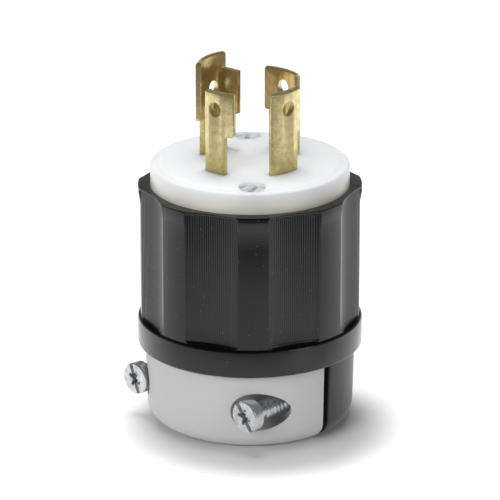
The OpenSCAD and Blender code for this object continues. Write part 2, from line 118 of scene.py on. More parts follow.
class PlugGrip(bpy.types.PropertyGroup):
    """The fluted body and its flange ring."""
    ring_height: distance("Ring height", "Height of the flange ring", 6.1)
    ring_edge: distance("Ring edge", "Rounding of the ring's edges", 0.45)
    land_radius: distance("Land radius", "Radius over the smooth lands", 23.9)
    flute_radius: distance("Flute radius", "Distance from the axis to the middle of a flute", 22.4)
    flute_fillet: distance("Flute fillet", "Fillet where a flute meets the ring", 0.8)
    rib_height: distance("Rib height", "Height of the fine ribs in the flutes", 0.065)
    swell: distance("Rim swell", "Outward swell of the lands below the rim", 0.4)
    swell_height: distance("Swell height", "Height of that swell", 3.6)
    bead_height: distance("Bead height", "Height of the bead where a flute meets the rim", 0.9)
    rim_edge: distance("Rim edge", "Edge break of the rim", 0.25)
    bore_radius: distance("Bore radius", "Bore below the face plate", 20.2)
    floor: distance("Floor", "Thickness of the floor at the clamp end", 3.6)
    floor_hole: distance("Floor hole", "Radius of the hole that the clamp's neck passes through", 12.85)
    body_colour: colour("Body colour", "Black moulded nylon", "#08090b")


class PlugFace(bpy.types.PropertyGroup):
    """The face plate and the screws in it."""
    edge: distance("Edge", "Rounding of the plate's edge", 0.6)
    raised_radius: distance("Raised radius", "Radius of the raised middle", 19.4)
    raised_height: distance("Raised height", "Height of the raised middle", 0.3)
    relief_depth: distance("Relief depth", "Depth of the relief under the ground blade's hook", 2.0)
    recess_radius: distance("Recess radius", "Radius of the recesses for the assembly screws", 2.95)
    recess_depth: distance("Recess depth", "Depth of those recesses", 2.5)
    screw_radius: distance("Screw circle", "Distance from the axis to the assembly screws", 17.7)
    head_radius: distance("Head radius", "Radius of the assembly screw heads", 2.7)
    head_height: distance("Head height", "Thickness of the assembly screw heads", 1.7)
    slot_width: distance("Slot width", "Width of the slot in the assembly screws", 1.0)
    slot_depth: distance("Slot depth", "Depth of that slot", 0.8)
    face_colour: colour("Face colour", "Natural nylon", "#f0f3f5")


class PlugBlades(bpy.types.PropertyGroup):
    """The four curved blades."""
    radius: distance("Radius", "Distance from the axis to the outer face of the blades", 11.7)
    thickness: distance("Thickness", "Thickness of the blades", 1.27)
    ear_rise: distance("Ear rise", "Height of the locking ears above the face", 8.5)
    ear_round: distance("Ear rounding", "Rounding of the ears' corners", 0.6)
    tip_round: distance("Tip rounding", "Rounding of the other corner at a blade's tip", 0.6)
    ear_fillet: distance("Ear fillet", "Fillet between a stem and its ear", 0.6)
    bevel_out: distance("Outer bevel", "Bevel on the outer side of the tips", 0.5)
    bevel_in: distance("Inner bevel", "Bevel on the inner side of the tips", 0.35)
    hole_radius: distance("Hole radius", "Radius of the holes near the tips", 1.65)
    hole_rise: distance("Hole rise", "Height of the holes above the face", 14.2)
    hook_reach: distance("Hook reach", "Reach of the ground blade's hook, inward from the outer face", 5.65)
    hook_lap: distance("Hook lap", "Distance that the hook lies inside the corner of the ground blade", 0.13)
    softness: distance("Softness", "Rounding that stamping and tumbling leave on the edges", 0.11)
    brass_colour: colour("Brass colour", "Bare brass", "#e2d29e")


class PlugClamp(bpy.types.PropertyGroup):
    """The two halves of the cord clamp."""
    cup_radius: distance("Cup radius", "Radius of the cup at its open end", 22.9)
    draft: bearing("Draft", "Draft of the cup's side wall", 1.5)
    edge: distance("Bottom edge", "Radius of the cup's bottom edge", 4.0)
    top_edge: distance("Top edge", "Rounding of the cup's top edge", 0.3)
    cup_height: distance("Cup height", "Height of the cup below the shadow gap", 17.15)
    bore_radius: distance("Bore radius", "Radius of the bore that grips the cord", 9.75)
    mouth: distance("Mouth", "Edge break at the mouth of the bore", 0.25)
    groove_depth: distance("Groove depth", "Depth of the grip grooves", 0.6)
    groove_width: distance("Groove width", "Width of a grip groove", 1.6)
    neck_radius: distance("Neck radius", "Radius of the neck that passes through the floor", 12.75)
    lip: distance("Lip", "Width of the lip that hooks the neck over the floor", 1.4)
    gap_top: distance("Gap at the top", "Gap between the halves at the top of the cup", 1.55)
    gap_base: distance("Gap at the base", "Gap between the halves at the base", 1.25)
    parting_edge: distance("Parting edge", "Rounding of the edges beside the parting gap", 0.35)
    screw_offset: distance("Screw offset", "Distance from the axis to each clamp screw", 16.5)
    screw_height: distance("Screw height", "Height of the clamp screws above the base", 8.9)
    pocket_radius: distance("Pocket radius", "Radius of the screw pockets in the light half", 4.3)
    pocket_floor: distance("Pocket floor", "Distance from the parting plane to the pockets' floors", 7.0)
    hole_radius: distance("Hole radius", "Radius of the clearance holes for the clamp screws", 2.25)
    light_colour: colour("Light colour", "Light grey moulded nylon", "#d2d3d2")


class PlugScrews(bpy.types.PropertyGroup):
    """The two long clamp screws."""
    head_radius: distance("Head radius", "Radius of the heads", 3.5)
    head_height: distance("Head height", "Thickness of the heads", 2.6)
    head_out: distance("Head distance", "Distance from the parting plane to the heads' outer faces", 19.4)
    neck_radius: distance("Neck radius", "Radius of the plain neck under the head", 1.7)
    neck_length: distance("Neck length", "Length of that neck", 3.0)
    thread_radius: distance("Thread radius", "Outer radius of the thread", 2.05)
    root_radius: distance("Root radius", "Radius at the root of the thread", 1.62)
    pitch: distance("Pitch", "Pitch of the thread", 1.06)
    length: distance("Length", "Length of the screws under the head", 25.5)
    slot_width: distance("Slot width", "Width of the slot across the head", 1.0)
    slot_depth: distance("Slot depth", "Depth of that slot", 0.9)
    zinc_colour: colour("Zinc colour", "Bright zinc plating", "#d6d8da")


class PlugStage(bpy.types.PropertyGroup):
    """Camera, lamps and floor."""
    azimuth: bearing("Azimuth", "Direction that the camera looks from", -1.7)
    elevation: bearing("Elevation", "Height of the camera's view above the horizon", 19.55)
    camera_distance: distance("Camera distance", "Distance from the camera to its target", 866.7)
    target_height: distance("Target height", "Height of the camera's target above the floor", 37.9)
    lens: bpy.props.FloatProperty(
        name="Lens", description="Focal length in millimetres", default=286.6, min=1.0
    )
    floor_colour: colour("Floor colour", "White acrylic sheet", "#e0e0e0")


# ---- Materials ----

# Grey of dust specks, which also stands for painted glints
DUST_AND_GLINT = linear("#8c8d90")
# Warm tint painted on the face plate's edge, for light that comes through the nylon
WARM_THROUGH_LIGHT = linear("#f3eedd")
NYLON_CLOUD = linear("#dfe6ec")
TARNISH = linear("#ab9858")
# Darker olive that the brass takes towards the face plate
OLIVE_BY_FACE = linear("#a59a50")
# Browner colour painted on the brass sides that face the axis, as their shade and mutual reflection
INNER_SHADE_AND_REFLECTION = linear("#a4782c")
BLUE_ZINC = linear("#e8f0f4")
DULL_ZINC = linear("#c4c8cb")
GREEN_LACQUER = linear("#3f8f4a")
CREAM = linear("#e7e6df")
NYLON_IOR = 1.53
ACRYLIC_IOR = 1.3


def add(tree, kind, sockets=None, **settings):
    """Adds a node, sets its properties and fills its sockets, with a value or with another node's output."""
    node = tree.nodes.new(kind)
    for name, value in settings.items():
        setattr(node, name, value)
    for name, value in (sockets or {}).items():
        if isinstance(value, bpy.types.NodeSocket):
            tree.links.new(value, node.inputs[name])
        else:
            node.inputs[name].default_value = value
    return node


def blank_material(name):
    """A material with no nodes, its tree, and the Object coordinates that its patterns read."""
    material = bpy.data.materials.new(name)
    material.use_nodes = True
    tree = material.node_tree
    tree.nodes.clear()
    coordinates = add(tree, "ShaderNodeTexCoord").outputs["Object"]
    return material, tree, coordinates


def surfaced(material, tree, sockets):
    """The material, closed with one shader whose sockets are filled so."""
    shader = add(tree, "ShaderNodeBsdfPrincipled", sockets)
    add(tree, "ShaderNodeOutputMaterial", {"Surface": shader.outputs[0]})
    return material


def per_mm(size):
    """The scale of a pattern whose features are this many millimetres across."""
    return 1 / (size * MM)


def scaled(base, factor):
    """A colour made lighter or darker."""
    return tuple(c * factor for c in base[:3]) + (1.0,)


def noise(tree, coordinates, size, detail, **sockets):
    """A noise pattern whose features are this many millimetres across."""
    return add(tree, "ShaderNodeTexNoise", {
        "Vector": coordinates, "Scale": per_mm(size), "Detail": detail, **sockets,
    }).outputs["Fac"]


def ranged(tree, value, start, end, at_start=0.0, at_end=1.0, **settings):
    """A value mapped from one range to another and held at both ends."""
    return add(tree, "ShaderNodeMapRange", {
        "Value": value, "From Min": start, "From Max": end, "To Min": at_start, "To Max": at_end,
    }, **settings).outputs[0]


def mixed(tree, factor, first, second):
    """A colour between two others. A Mix node keeps its colours in sockets 6 and 7 and in output 2."""
    return add(tree, "ShaderNodeMix", {0: factor, 6: first, 7: second}, data_type="RGBA").outputs[2]


def between(tree, factor, first, second):
    """A value between two others. A Mix node keeps its plain values in sockets 2 and 3."""
    return add(tree, "ShaderNodeMix", {0: factor, 2: first, 3: second}).outputs[0]


def calculated(tree, operation, first, second):
    """The outcome of one sum."""
    return add(tree, "ShaderNodeMath", {0: first, 1: second}, operation=operation).outputs[0]


def component(tree, vector, axis):
    """One component of a vector."""
    return add(tree, "ShaderNodeSeparateXYZ", {"Vector": vector}).outputs[axis]


def bumped(tree, height, strength, depth):
    """The normal over a pattern that is this many millimetres deep."""
    return add(tree, "ShaderNodeBump", {
        "Height": height, "Strength": strength, "Distance": depth * MM,
    }).outputs[0]


def passed_on(tree, rays):
    """1 for rays that a reflection or a clear body sends on, 0 for all others."""
    return calculated(tree, "MAXIMUM", rays.outputs["Is Glossy Ray"], rays.outputs["Is Transmission Ray"])


def moulded_nylon(name, base, roughness, specks=0.0):
    """Injection-moulded nylon: a satin skin with a faint grain from the mould and slight flow marks."""
    material, tree, coordinates = blank_material(name)
    # The mould's spark-eroded grain is about 0.05 mm and is drawn at 0.35 mm, so that it shows at all
    grain = noise(tree, coordinates, 0.35, 3.0)
    flow = noise(tree, coordinates, 14, 2.0)
    gloss = ranged(tree, flow, 0.3, 0.7, roughness - 0.05, roughness + 0.05)
    skin = mixed(tree, ranged(tree, flow, 0.0, 1.0, 0.0, 0.25), base, scaled(base, 1.35))
    if specks:
        # Dust specks, and glints painted where tiny pits catch the light, here and there
        dots = add(tree, "ShaderNodeTexVoronoi", {"Vector": coordinates, "Scale": per_mm(1.6)})
        near = ranged(tree, dots.outputs["Distance"], 0.05, 0.09, specks, 0.0)
        skin = mixed(tree, near, skin, DUST_AND_GLINT)
    return surfaced(material, tree, {
        "Base Color": skin, "Roughness": gloss, "IOR": NYLON_IOR, "Normal": bumped(tree, grain, 0.1, 0.05),
    })


def natural_nylon(base):
    """Unpigmented nylon: milky, so light spreads inside it; low down by the body's rim the plate gets a faint
    warm tint, painted light that stands for the light through its thick parts.
    """
    material, tree, coordinates = blank_material("natural_nylon")
    # Painted light: the plate is tinted warm low down by the body's rim, fading out below the face, for light
    # that comes through the thick nylon
    depth = ranged(tree, component(tree, coordinates, "Z"), Z_RIM, Z_FACE - 0.8 * MM, 1.0, 0.0)
    warm = mixed(tree, depth, base, WARM_THROUGH_LIGHT)
    flow = noise(tree, coordinates, 9, 2.0)
    cloudy = mixed(tree, ranged(tree, flow, 0.0, 1.0, 0.0, 0.12), warm, NYLON_CLOUD)
    grain = noise(tree, coordinates, 0.4, 2.0)
    return surfaced(material, tree, {
        "Base Color": cloudy, "Roughness": 0.32, "IOR": NYLON_IOR, "Normal": bumped(tree, grain, 0.06, 0.05),
        "Subsurface Weight": 0.6, "Subsurface Radius": (1.0, 0.95, 0.8), "Subsurface Scale": 3 * MM,
    })


def stamped_brass(base):
    """Stamped, tumbled brass strip: a satin sheen, finely mottled with tarnish, olive by the face plate."""
    material, tree, coordinates = blank_material("stamped_brass")
    blotch = noise(tree, coordinates, 1.1, 6.0, Roughness=0.65)
    tarnished = mixed(tree, ranged(tree, blotch, 0.42, 0.66, 0.0, 0.55), base, TARNISH)
    # Towards the face plate the brass turns darker and olive
    low = ranged(tree, component(tree, coordinates, "Z"), Z_FACE, Z_FACE + 8 * MM, 0.6, 0.0)
    olive = mixed(tree, low, tarnished, OLIVE_BY_FACE)
    # Painted shade and reflection: the sides that face the plug's axis mirror one another, and a browner
    # colour painted on them stands for that reflection and the shade between the blades
    flat = add(tree, "ShaderNodeVectorMath", {0: coordinates, 1: (1.0, 1.0, 0.0)}, operation="MULTIPLY")
    outward = add(tree, "ShaderNodeVectorMath", {0: flat.outputs[0]}, operation="NORMALIZE")
    facing = add(tree, "ShaderNodeVectorMath", {
        0: add(tree, "ShaderNodeTexCoord").outputs["Normal"], 1: outward.outputs[0],
    }, operation="DOT_PRODUCT")
    inward = ranged(tree, facing.outputs["Value"], -0.8, -0.2, 0.5, 0.0)
    skin = mixed(tree, inward, olive, INNER_SHADE_AND_REFLECTION)
    # Tumbling leaves fine pits, about 0.1 mm across, drawn at 0.3 mm
    pits = noise(tree, coordinates, 0.3, 4.0)
    satin = ranged(tree, blotch, 0.3, 0.7, 0.24, 0.36)
    # The thin tarnish scatters a part of the light, so the skin is not wholly metallic
    return surfaced(material, tree, {
        "Base Color": skin, "Metallic": 0.8, "Roughness": satin, "Normal": bumped(tree, pits, 0.25, 0.04),
    })


def zinc_plate(name, base, roughness, metallic=0.85):
    """Zinc-plated steel: bright, slightly clouded, with faint tumbling marks and a haze of passivation."""
    material, tree, coordinates = blank_material(name)
    cloud = ranged(tree, noise(tree, coordinates, 1.1, 4.0), 0.35, 0.7)
    skin = mixed(tree, cloud, base, scaled(base, 0.72))
    scuffs = noise(tree, coordinates, 0.25, 3.0)
    return surfaced(material, tree, {
        "Base Color": skin, "Metallic": metallic, "Roughness": roughness,
        "Normal": bumped(tree, scuffs, 0.2, 0.03),
    })


def white_acrylic(base):
    """The studio floor: a white sheet with a slight gloss and a painted glow, which keeps it white except in
    the shadow round the plug.
    """
    material, tree, coordinates = blank_material("white_acrylic")
    gloss = ranged(tree, noise(tree, coordinates, 400, 1.0), 0.0, 1.0, 0.22, 0.26)
    sheet = add(tree, "ShaderNodeBsdfPrincipled", {
        "Base Color": base, "Roughness": gloss, "IOR": ACRYLIC_IOR,
    })
    # To the camera the sheet glows, which is painted light: the glow fades out close round the plug, so the
    # shadow there is partly painted, and its middle lies in front of the plug, so that painted shadow reaches
    # further forward
    shadow = (2 * MM, -9 * MM, 0.0)
    away = add(tree, "ShaderNodeVectorMath", {0: coordinates, 1: shadow}, operation="DISTANCE")
    through = ranged(
        tree, away.outputs["Value"], 21 * MM, 34.5 * MM, 0.0, 0.5, interpolation_type="SMOOTHSTEP"
    )
    # In the plug's reflections the sheet glows too, a painted reflection that is brighter beside and behind
    # the plug than in front of it
    behind = ranged(tree, component(tree, coordinates, "Y"), -30 * MM, 30 * MM, 0.24, 0.85)
    rays = add(tree, "ShaderNodeLightPath")
    reflected = calculated(tree, "MULTIPLY", passed_on(tree, rays), behind)
    lift = between(tree, rays.outputs["Is Camera Ray"], reflected, through)
    glow = add(tree, "ShaderNodeEmission", {"Strength": lift})
    both = add(tree, "ShaderNodeAddShader", {0: sheet.outputs[0], 1: glow.outputs[0]})
    add(tree, "ShaderNodeOutputMaterial", {"Surface": both.outputs[0]})
    return material


# ---- Shaping tools ----

def arc(centre, radius, start, end, segments):
    """Points of an arc in the profile plane, between two angles in degrees."""
    angles = (math.radians(start + (end - start) * i / segments) for i in range(segments + 1))
    return [(centre[0] + radius * math.cos(a), centre[1] + radius * math.sin(a)) for a in angles]


def fill(bm):
    """Closes the openings of a bmesh."""
    bmesh.ops.holes_fill(bm, edges=[e for e in bm.edges if e.is_boundary])


def cut(bm, point, outwards, clear=True):
    """Cuts a bmesh at a plane and, unless told otherwise, clears what lies beyond it."""
    bmesh.ops.bisect_plane(
        bm, geom=bm.verts[:] + bm.edges[:] + bm.faces[:], plane_co=point, plane_no=outwards, clear_outer=clear
    )


def spun(profile, steps, angle=TURN, closed=True):
    """A bmesh spun about Z from a chain of (radius, height) points."""
    bm = bmesh.new()
    verts = [bm.verts.new((r, 0.0, z)) for r, z in profile]
    after = verts[1:] + verts[:1] if closed else verts[1:]
    edges = [bm.edges.new(pair) for pair in zip(verts, after)]
    bmesh.ops.spin(
        bm, geom=verts + edges, cent=(0, 0, 0), axis=(0, 0, 1), angle=angle, steps=steps,
        use_merge=angle == TURN,
    )
    bmesh.ops.remove_doubles(bm, verts=bm.verts, dist=SEAM)
    if angle != TURN:
        fill(bm)
    bmesh.ops.recalc_face_normals(bm, faces=bm.faces)
    return bm


def rod(radius, start, end, sides=64):
    """A plain cylinder along Z between two heights, as a bmesh."""
    bm = bmesh.new()
    bmesh.ops.create_cone(
        bm, cap_ends=True, segments=sides, radius1=radius, radius2=radius, depth=end - start,
        matrix=Matrix.Translation((0, 0, (start + end) / 2)),
    )
    return bm


def block(low, high):
    """A box between two corners, as a bmesh."""
    low, high = Vector(low), Vector(high)
    bm = bmesh.new()
    bmesh.ops.create_cube(bm, size=1.0, matrix=Matrix.LocRotScale((low + high) / 2, None, high - low))
    return bm


def placed(bm, *matrices):
    """The same bmesh after these transforms, the first one first."""
    for matrix in matrices:
        bmesh.ops.transform(bm, matrix=matrix, verts=bm.verts)
    return bm


def joined(first, *others):
    """The first bmesh with copies of the others' shells added to it."""
    for other in others:
        mesh = bpy.data.meshes.new("part")
        other.to_mesh(mesh)
        other.free()
        first.from_mesh(mesh)
        bpy.data.meshes.remove(mesh)
    return first


def loose_object(bm, name):
    """An object for a bmesh, linked to the scene."""
    mesh = bpy.data.meshes.new(name)
    bm.to_mesh(mesh)
    bm.free()
    obj = bpy.data.objects.new(name, mesh)
    bpy.context.scene.collection.objects.link(obj)
    return obj


def carved(bm, tool, operation="DIFFERENCE"):
    """The result of an exact Boolean between two bmeshes, as a new one."""
    body = loose_object(bm, "carved")
    cutter = loose_object(tool, "cutter")
    boolean = body.modifiers.new("boolean", "BOOLEAN")
    boolean.object = cutter
    boolean.operation = operation
    boolean.solver = "EXACT"
    evaluated = body.evaluated_get(bpy.context.evaluated_depsgraph_get())
    result = bmesh.new()
    result.from_mesh(evaluated.to_mesh())
    evaluated.to_mesh_clear()
    for obj in (body, cutter):
        mesh = obj.data
        bpy.data.objects.remove(obj)
        bpy.data.meshes.remove(mesh)
    return result


def soften(bm, width, segments=2, sharper_than=35, where=lambda edge: True):
    """Rounds the sharp edges of a bmesh."""
    limit = math.radians(sharper_than)
    edges = [e for e in bm.edges if e.is_manifold and e.calc_face_angle() > limit and where(e)]
    bmesh.ops.bevel(
        bm, geom=edges, offset=width, segments=segments, profile=0.5, affect="EDGES",
        clamp_overlap=True, material=-1,
    )
    return bm


def piece(bm, name, finish, slot, *nodes, crease=32):
    """Makes a bmesh a finished piece that rides on the body and stands for these CAD nodes."""
    obj = loose_object(bm, name)
    for face in obj.data.polygons:
        face.use_smooth = True
    obj.data.set_sharp_from_angle(angle=math.radians(crease))
    obj.data.materials.append(finish)
    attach(obj, BODY)
    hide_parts(*nodes)
    return obj


# ---- Grip ----

class PLUG_OT_grip(bpy.types.Operator):
    """Build the fluted body with its flange ring"""
    bl_idname = "plug.grip"
    bl_label = "Grip"

    # A land and its flute share 144 columns of the spun shell: 50 lie on the land, and each rib takes 4
    LANDS = 8
    COLUMNS_PER_DEGREE = 3.2
    LAND_COLUMNS = 50
    RIB_COLUMNS = 4
    # Share of the swell's height over which the lands swell, before they stay level up to the rim
    SWELL_SHARE = 2 / 3
    # The bosses take the assembly screws, and their roots run into the floor
    BOSS_RADIUS = 3 * MM
    BOSS_HEIGHT = 6 * MM
    BOSS_ROOT = 0.5 * MM

    def profile(self, s):
        """Chain of (radius, height) points from the floor's hole round the outside and back down the bore."""
        ledge = Z_RING + s.ring_height
        floor = Z_RING + s.floor
        e = s.ring_edge
        swell_r = s.land_radius + s.swell
        inner = FACE_R + PLAY
        foot = [ledge + s.flute_fillet * t for t in (0.0, 0.06, 0.15, 0.3, 0.5, 0.75, 1.0)]
        rise = [ledge + (Z_RIM - ledge) * t for t in (0.15, 0.35, 0.55, 0.75)]
        start = Z_RIM - s.swell_height
        swell = [(start + s.swell_height * self.SWELL_SHARE * t, t) for t in (0.0, 0.2, 0.4, 0.6, 0.8, 1.0)]
        return (
            [(s.floor_hole, Z_RING)]
            + arc((RING_R - e, Z_RING + e), e, -90, 0, 4)
            + arc((RING_R - e, ledge - e), e, 0, 90, 4)
            + [(s.land_radius, z) for z in foot + rise]
            + [(s.land_radius + s.swell * t, z) for z, t in swell]
            + [(swell_r, Z_RIM - s.bead_height * t) for t in (1.0, 0.8, 0.6, 0.45)]
            + arc((swell_r - s.rim_edge, Z_RIM - s.rim_edge), s.rim_edge, 0, 90, 3)
            + [(inner + PLAY, Z_RIM), (inner, Z_RIM - PLAY), (inner, Z_SEAT), (s.bore_radius, Z_SEAT)]
            + [(s.bore_radius, floor), (s.floor_hole, floor)]
        )

    def flute(self, s, column, z):
        """Radius of the ribbed flute surface at a column, counted from the flute's middle, and a height."""
        # The flute is a circular arc through its middle and the edges of the two lands beside it
        pitch = 360 / self.LANDS * self.COLUMNS_PER_DEGREE
        half = math.radians((pitch - self.LAND_COLUMNS) / 2 / self.COLUMNS_PER_DEGREE)
        sag = s.land_radius * math.cos(half) - s.flute_radius
        chord = s.land_radius * math.sin(half)
        radius = (chord ** 2 + sag ** 2) / (2 * sag)
        axis = s.flute_radius + radius
        turn = math.radians(column / self.COLUMNS_PER_DEGREE)
        base = axis * math.cos(turn) - math.sqrt(radius ** 2 - (axis * math.sin(turn)) ** 2)
        # Ribs run up it, a fillet joins it to the ring, and a bead closes it below the rim
        rib = s.rib_height * (0.5 + 0.5 * math.cos(TURN * column / self.RIB_COLUMNS))
        above = max(0.0, s.flute_fillet - (z - Z_RING - s.ring_height))
        fillet = s.flute_fillet - math.sqrt(s.flute_fillet ** 2 - min(above, s.flute_fillet) ** 2)
        t = min(1.0, max(0.0, (z - Z_RIM + s.bead_height) / (s.bead_height / 2)))
        bead = s.swell * (3 * t * t - 2 * t ** 3)
        return base + rib + fillet + bead

    def execute(self, context):
        s = context.scene.plug_grip
        steps = round(360 * self.COLUMNS_PER_DEGREE)
        pitch = steps // self.LANDS
        bm = spun(self.profile(s), steps)
        ledge = Z_RING + s.ring_height
        near = 0.01 * MM
        for v in bm.verts:
            r = math.hypot(v.co.x, v.co.y)
            in_ring = v.co.z < ledge - near
            in_bore = r < FACE_R + MM
            on_ledge = v.co.z < ledge + near and r > s.land_radius + 5 * near
            if in_ring or in_bore or on_ledge:
                continue
            turned = math.degrees(math.atan2(v.co.y, v.co.x)) * self.COLUMNS_PER_DEGREE
            column = round(turned) % pitch - pitch // 2
            if abs(column) <= (pitch - self.LAND_COLUMNS) / 2:
                new = min(r, self.flute(s, column, v.co.z))
                v.co.x *= new / r
                v.co.y *= new / r
        floor = Z_RING + s.floor
        for at in (1, -1):
            boss = rod(self.BOSS_RADIUS, floor - self.BOSS_ROOT, floor + self.BOSS_HEIGHT)
            centre = Matrix.Translation((0, at * context.scene.plug_face.screw_radius, 0))
            bm = joined(bm, placed(boss, centre))
        black = moulded_nylon("moulded_black_nylon", s.body_colour, 0.24, specks=0.35)
        piece(bm, "fluted_body", black, "black_plastic", "body_shell", crease=24)
        return {"FINISHED"}


# ---- Face plate ----

def plug_blades(context):
    """Each blade: name, start, end and ear angles in degrees, tip height, turn of its hole."""
    return (
        ("ground_blade", 118.5, 157.5, 175.5, Z_GROUND_TIP, 0.0),
        ("neutral_blade", 291.1, 328.7, 335.7, Z_TIP, 3.2),
        ("line_blade_x", 213.3, 240.7, 251.3, Z_TIP, 1.0),
        ("line_blade_y", 20.8, 60.0, 70.6, Z_TIP, 4.1),
    )


class PLUG_OT_face_plate(bpy.types.Operator):
    """Build the white face plate with its slots and recesses"""
    bl_idname = "plug.face_plate"
    bl_label = "Face plate"

    CHAMFER = 0.3 * MM
    RAISED_RUN = 0.15 * MM
    SCREW_HOLE_RADIUS = 1.95 * MM

    def profile(self, s):
        """Chain of (radius, height) points from the seat's middle round the edge to the raised middle."""
        edge_z = Z_FACE - s.raised_height
        run, e = self.RAISED_RUN, self.CHAMFER
        return (
            [(0.0, Z_SEAT), (FACE_R - e, Z_SEAT), (FACE_R, Z_SEAT + e)]
            + arc((FACE_R - s.edge, edge_z - s.edge), s.edge, 0, 90, 8)
            + [(s.raised_radius + 2 * run, edge_z), (s.raised_radius + run, edge_z + s.raised_height * 0.25)]
            + [(s.raised_radius, edge_z + s.raised_height * 0.8), (s.raised_radius - run, Z_FACE)]
            + [(0.0, Z_FACE)]
        )

    def execute(self, context):
        s = context.scene.plug_face
        blades = context.scene.plug_blades
        bm = spun(self.profile(s), 256, closed=False)
        inner = blades.radius - blades.thickness - PLAY
        outer = blades.radius + PLAY
        for name, start, end, _, _, _ in plug_blades(context):
            if name == "ground_blade":
                half = math.radians(end - start) / 2
                low = -blades.radius * math.sin(half) - blades.hook_lap - PLAY
                inmost = blades.radius - blades.hook_reach - PLAY
                relief = block(
                    (inmost, low, Z_FACE - s.relief_depth),
                    (inner + MM / 2, low + blades.thickness + 2 * PLAY, Z_FACE + MM),
                )
                bm = carved(bm, placed(relief, Matrix.Rotation(math.radians(start) + half, 4, "Z")))
            slot = spun(
                [(inner, Z_SEAT - MM), (outer, Z_SEAT - MM), (outer, Z_FACE + MM), (inner, Z_FACE + MM)],
                24, math.radians(end - start) + 2 * PLAY / blades.radius,
            )
            turn = math.radians(start) - PLAY / blades.radius
            bm = carved(bm, placed(slot, Matrix.Rotation(turn, 4, "Z")))
        for at in (1, -1):
            centre = Matrix.Translation((0, at * s.screw_radius, 0))
            bm = carved(bm, placed(rod(s.recess_radius, Z_FACE - s.recess_depth, Z_FACE + MM), centre))
            bm = carved(bm, placed(rod(self.SCREW_HOLE_RADIUS, Z_SEAT - MM, Z_FACE), centre))
        white = natural_nylon(s.face_colour)
        piece(bm, "white_face_plate", white, "white_nylon", "face_plate", crease=30)
        return {"FINISHED"}


class PLUG_OT_assembly_screws(bpy.types.Operator):
    """Build the two slotted screws in the face plate"""
    bl_idname = "plug.assembly_screws"
    bl_label = "Assembly screws"

    SHANK_RADIUS = 1.75 * MM
    CHAMFER = 0.3 * MM
    HEAD_EDGE = 0.35 * MM
    SLOT_EDGE = 0.08 * MM

    def execute(self, context):
        s = context.scene.plug_face
        seat = Z_FACE - s.recess_depth
        top = seat + s.head_height
        shank, e, rounding = self.SHANK_RADIUS, self.CHAMFER, self.HEAD_EDGE
        profile = (
            [(0.0, Z_SHANK), (shank - e, Z_SHANK), (shank, Z_SHANK + e), (shank, seat), (s.head_radius, seat)]
            + arc((s.head_radius - rounding, top - rounding), rounding, 0, 90, 5)
            + [(0.0, top)]
        )
        reach = 2 * s.head_radius
        above = seat + 0.2 * MM
        shells = []
        # Each screw stops with its slot at another angle
        for at, slot_turn in ((1, 90), (-1, 65)):
            slot = block((-reach, -s.slot_width / 2, top - s.slot_depth), (reach, s.slot_width / 2, top + MM))
            screw = carved(spun(profile, 64, closed=False), slot)
            soften(screw, self.SLOT_EDGE, where=lambda edge: min(v.co.z for v in edge.verts) > above)
            turn = Matrix.Rotation(math.radians(slot_turn), 4, "Z")
            shells.append(placed(screw, turn, Matrix.Translation((0, at * s.screw_radius, 0))))
        zinc = zinc_plate("blue_zinc_plate", BLUE_ZINC, 0.4, 0.35)
        piece(joined(*shells), "slotted_screws", zinc, "plated_steel", "assembly_screws")
        return {"FINISHED"}


# ---- Blades ----

